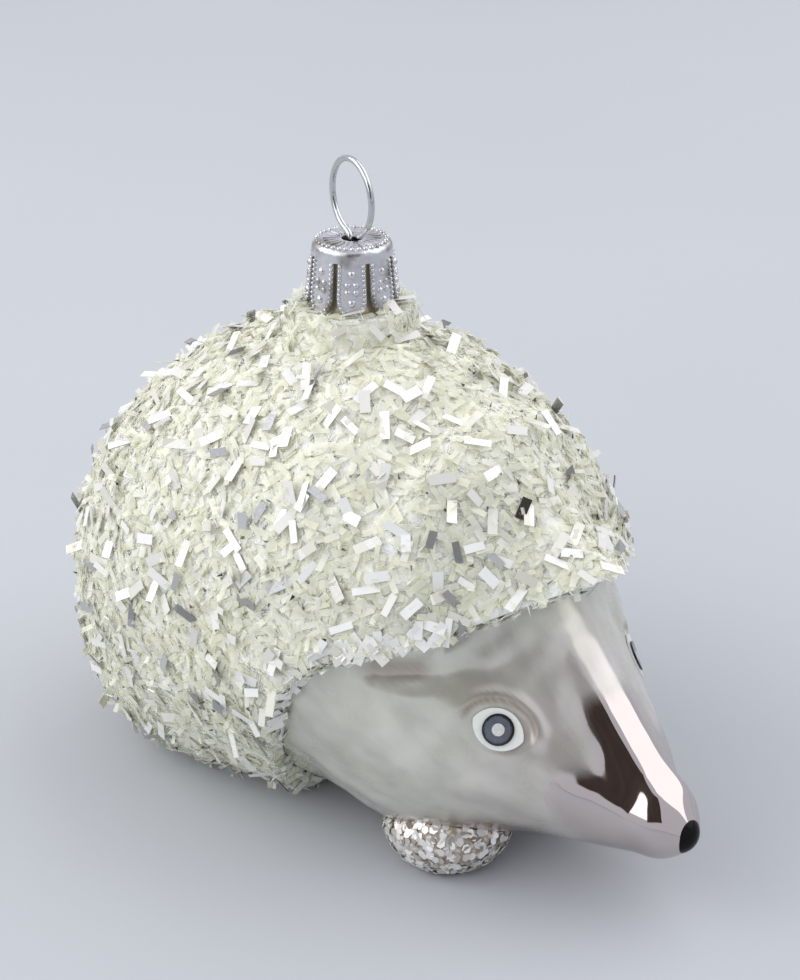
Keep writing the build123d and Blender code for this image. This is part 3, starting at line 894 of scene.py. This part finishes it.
def tinsel_coat():
    """The pile of the coat: fine shards below, cut film and flakes above."""

    def outside(middle, out):
        by_cap = (np.hypot(middle[:, 0], middle[:, 1]) < CAP_CLEARANCE) & (middle[:, 2] > CAP_ZONE)
        return looks_away(middle, out, COAT_CORE) & (middle[:, 2] > COAT_HEM) & ~by_cap

    whole = outer_skin("glitter_bed", outside, "coat_carrier")
    fringe = front_fringe(whole, "fringe_carrier")
    shards = strewn_tree("strewn_shards", "shard")
    flakes = strewn_tree("strewn_flakes", "flake")
    stops = [(0, 228, 226, 186), (0.3, 240, 239, 208), (0.7, 248, 248, 228), (1, 252, 252, 242)]
    cream = foil("cream_shards", stops, metal=0.0, rough=0.34, coat=0.1, milky=1.0)
    stops = [(0, 240, 240, 214), (0.4, 248, 248, 230), (1, 253, 253, 246)]
    clear = foil("clear_film", stops, metal=0.0, rough=0.28, coat=0.1, clear=0.62)
    stops = [(0, 218, 215, 204), (0.35, 234, 233, 228), (1, 246, 246, 244)]
    white = foil("white_flakes", stops, metal=0.1, rough=0.28, coat=0.15)
    stops = [(0, 124, 122, 119), (0.4, 172, 170, 167), (0.9, 218, 218, 217), (1, 200, 164, 152)]
    mirror = foil("mirror_flakes", stops, metal=0.9, rough=0.14)
    stops = [(0, 60, 54, 48), (0.6, 120, 112, 98), (1, 150, 110, 90)]
    specks = foil("dark_specks", stops, metal=0.6, rough=0.12)
    plan = [
        # name, carrier, tree, count, length, width, lift, least tilt, most tilt, seed, finish, slot
        ("cream_shard_pile", whole, shards, 12000, 1.7, 0.22, 0.1, -4, 13, 11, cream, "pearl_foil"),
        ("fine_film_pile", whole, flakes, 5600, 2.4, 0.85, 0.32, -14, 14, 23, clear, "pearl_foil"),
        ("standing_film_pile", whole, flakes, 1700, 2.2, 0.8, 0.50, -72, 72, 29, clear, "pearl_foil"),
        ("white_flake_pile", whole, flakes, 420, 3.0, 1.15, 0.75, -26, 26, 37, white, "pearl_foil"),
        ("mirror_flake_pile", whole, flakes, 110, 2.9, 1.1, 0.85, -30, 30, 41, mirror, "silver_foil"),
        ("dark_speck_pile", whole, shards, 200, 0.8, 0.22, 0.5, 0, 60, 53, specks, "silver_foil"),
        ("edge_film_pile", fringe, flakes, 380, 2.8, 0.9, 0.30, -24, 24, 61, clear, "pearl_foil"),
        ("edge_flake_pile", fringe, flakes, 150, 3.2, 1.1, 0.55, -30, 30, 67, white, "pearl_foil"),
    ]
    for name, carrier, tree, count, length, width, lift, low, high, seed, finish, slot in plan:
        values = {
            "Density": count / area_of(carrier),
            "Length": length * MM,
            "Width": width * MM,
            "Thickness": FLAKE_THICKNESS * MM,
            "Lift": lift * MM,
            "Least tilt": math.radians(low),
            "Most tilt": math.radians(high),
            "Seed": seed,
            "Material": finish,
        }
        made_by(tree, carrier.copy(), name, "glass", values)


def paw_hexes():
    """Hexagonal glitter over both front paws."""
    hexes = strewn_tree("strewn_hexes", "hex")
    finish = hex_glitter()
    for side, core, seed in (("right", PAW, 5), ("left", PAW * MIRROR, 9)):

        def outside(middle, out):
            return looks_away(middle, out, core)

        carrier = outer_skin(side + "_paw_glitter", outside, side + "_paw_carrier")
        values = {
            "Density": HEXES_PER_PAW / area_of(carrier),
            "Length": HEX_RADIUS * MM,
            "Thickness": FLAKE_THICKNESS * MM,
            "Lift": HEX_LIFT * MM,
            "Least tilt": math.radians(-HEX_TILT),
            "Most tilt": math.radians(HEX_TILT),
            "Seed": seed,
            "Material": finish,
        }
        made_by(hexes, carrier, side + "_paw_hexes", "glass", values)


def line_mesh(name, lines):
    """Edges along lists of points, in millimetres; a list of one point gives a single point."""
    points, edges = [], []
    for line in lines:
        edges += [(len(points) + i, len(points) + i + 1) for i in range(len(line) - 1)]
        points += [tuple(c * MM for c in point) for point in line]
    mesh = bpy.data.meshes.new(name)
    mesh.from_pydata(points, edges, [])
    return mesh


def cap_stamping(finish):
    """Beads round the rim and the edges of each petal, and a flower between two bosses on each."""

    def skirt_radius(level):
        return CAP_RADIUS + CAP_FLARE * (CAP_TOP - level) / CAP_DEPTH

    def on_skirt(petal, sideways, level, proud):
        radius = skirt_radius(level) + proud
        angle = 2 * math.pi * petal / PETALS + sideways / radius
        return (radius * math.cos(angle), radius * math.sin(angle), level)

    def half_petal(level):
        return math.pi * skirt_radius(level) / PETALS - PETAL_GAP / 2 - BEAD_INSET

    turn_level = CAP_TOP - CAP_DEPTH + PETAL_TIP
    wide, drop = half_petal(turn_level), PETAL_TIP - TIP_INSET
    straight = np.linspace(CAP_TOP - BEADS_DEPTH, turn_level, 10)
    half = [(half_petal(level), level) for level in straight]
    for q in np.linspace(0, math.pi / 2, 9)[1:]:
        half.append((wide * math.cos(q), turn_level - drop * math.sin(q)))
    outline = half + [(-across, level) for across, level in half[-2::-1]]
    borders, bosses, leaves = [], [], []
    for petal in range(PETALS):
        borders.append([on_skirt(petal, across, level, BEAD_PROUD) for across, level in outline])
        bosses += [[on_skirt(petal, 0.0, CAP_TOP - depth, -BOSS_SUNK)] for depth in BOSS_DEPTHS]
        for across, rise in LEAF_PLACES:
            leaves.append([on_skirt(petal, across, CAP_TOP - FLOWER_DEPTH + rise, -LEAF_SUNK)])
    rim = []
    for angle in np.linspace(0, 2 * math.pi, 61):
        x, y = CAP_RIM_RADIUS * math.cos(angle), CAP_RIM_RADIUS * math.sin(angle)
        rim.append((x, y, CAP_TOP - RIM_BEAD_DEPTH))
    beads, domes = bead_tree(), boss_tree()
    plan = [
        ("cap_petal_beads", beads, borders, {"Pitch": 0.56 * MM, "Radius": 0.25 * MM}),
        ("cap_rim_beads", beads, [rim], {"Pitch": 0.80 * MM, "Radius": 0.34 * MM}),
        ("cap_bosses", domes, bosses, {"Radius": 0.56 * MM}),
        ("cap_flower_leaves", domes, leaves, {"Radius": 0.44 * MM}),
    ]
    for name, tree, lines, sizes in plan:
        values = {**sizes, "Material": finish}
        made_by(tree, line_mesh(name, lines), name, "cap", values)


# Stage, in metres

FLOOR_REACH = 4.0
LAMP_AIM = Vector((0.0, 0.0, 0.03))
LAMPS = [
    # name, place, width and depth, power, colour
    ("key", (0.16, 0.44, 0.58), (1.10, 0.80), 3.1, (1.0, 0.98, 0.95)),
    ("fill", (-0.50, -0.40, 0.50), (0.7, 0.6), 3.0, (1.0, 0.985, 0.95)),
    ("front", (0.02, -0.62, 0.46), (0.6, 0.5), 1.3, (1.0, 0.99, 0.96)),
]
TO_CAMERA = Vector((0.641, -0.641, 0.423))
CARD_RIGHT = Vector((0.707, 0.707, 0.0))
CARD_UP = Vector((-0.299, 0.299, 0.906))
CARD_DISTANCE = 0.42
CARD_HALF_WIDTH = 0.16
CARD_HALF_HEIGHT = 0.20
CARD_CORNERS = ((-1, -0.35), (1, -0.35), (1, 1), (-1, 1))
CAMERA_AIM = Vector((8.2, 0.0, 40.5)) * MM
CAMERA_DISTANCE = 0.290
SENSOR = 36.0
FOCAL_PIXELS = 2330
PICTURE_HEIGHT = 980


def looking(place, aim):
    """Where a lamp or camera stands and which way it looks."""
    return Matrix.LocRotScale(place, (aim - place).to_track_quat("-Z", "Y"), None)


def sheet(name, corners, material):
    """A flat sheet with four corners."""
    mesh = bpy.data.meshes.new(name)
    mesh.from_pydata(corners, [], [(0, 1, 2, 3)])
    mesh.materials.append(material)
    return placed(name, mesh)


def lay_floor():
    """A wide, pale floor."""
    look = Finish("pale_floor", Roughness=0.75, Specular_IOR_Level=0.2)
    look.feed("Base Color", look.noise(160, 2).mixed(rgb(181, 184, 189), rgb(188, 191, 196)))
    signs = ((-1, -1), (1, -1), (1, 1), (-1, 1))
    floor = sheet("floor", [(FLOOR_REACH * a, FLOOR_REACH * b, 0) for a, b in signs], look.material)


def set_light():
    """A pale room, a soft key from the right, a fill from the left and a weak lamp in front."""
    world = bpy.data.worlds.new("soft_room")
    world.use_nodes = True
    bpy.context.scene.world = world
    room = world.node_tree.nodes["Background"]
    room.inputs["Color"].default_value = rgb(216, 219, 227)
    room.inputs["Strength"].default_value = 1.0
    for name, place, size, power, colour in LAMPS:
        light = bpy.data.lights.new(name, "AREA")
        light.shape = "RECTANGLE"
        light.size, light.size_y = size
        light.energy = power
        light.color = colour
        placed(name, light).matrix_world = looking(Vector(place), LAMP_AIM)


def hang_card():
    """A dark card by the camera, seen only where something mirrors it."""
    cloth = Finish("dark_card", Roughness=0.9)
    cloth.feed("Base Color", cloth.noise(40, 2).mixed(rgb(58, 46, 40), rgb(84, 70, 62)))
    middle = TO_CAMERA * CARD_DISTANCE
    corners = []
    for a, b in CARD_CORNERS:
        corner = middle + CARD_RIGHT * a * CARD_HALF_WIDTH + CARD_UP * b * CARD_HALF_HEIGHT
        corners.append(tuple(corner))
    card = sheet("dark_card", corners, cloth.material)
    card.visible_camera = False
    card.visible_shadow = False
    card.visible_diffuse = False


def set_camera():
    """A long lens, 45 degrees round and 25 degrees up, as in the photograph."""
    lens = bpy.data.cameras.new("camera")
    lens.sensor_fit = "VERTICAL"
    lens.sensor_height = SENSOR
    lens.lens = SENSOR * FOCAL_PIXELS / PICTURE_HEIGHT
    camera = placed("camera", lens)
    place = CAMERA_AIM + TO_CAMERA.normalized() * CAMERA_DISTANCE
    camera.matrix_world = looking(place, CAMERA_AIM)
    bpy.context.scene.camera = camera


bpy.context.scene.view_settings.view_transform = "Standard"
lay_floor()
set_light()
hang_card()
set_camera()
node_finishes = dress_nodes()
blown_figure(lacquered_mirror())
tinsel_coat()
paw_hexes()
cap_stamping(node_finishes["crown_cap"])
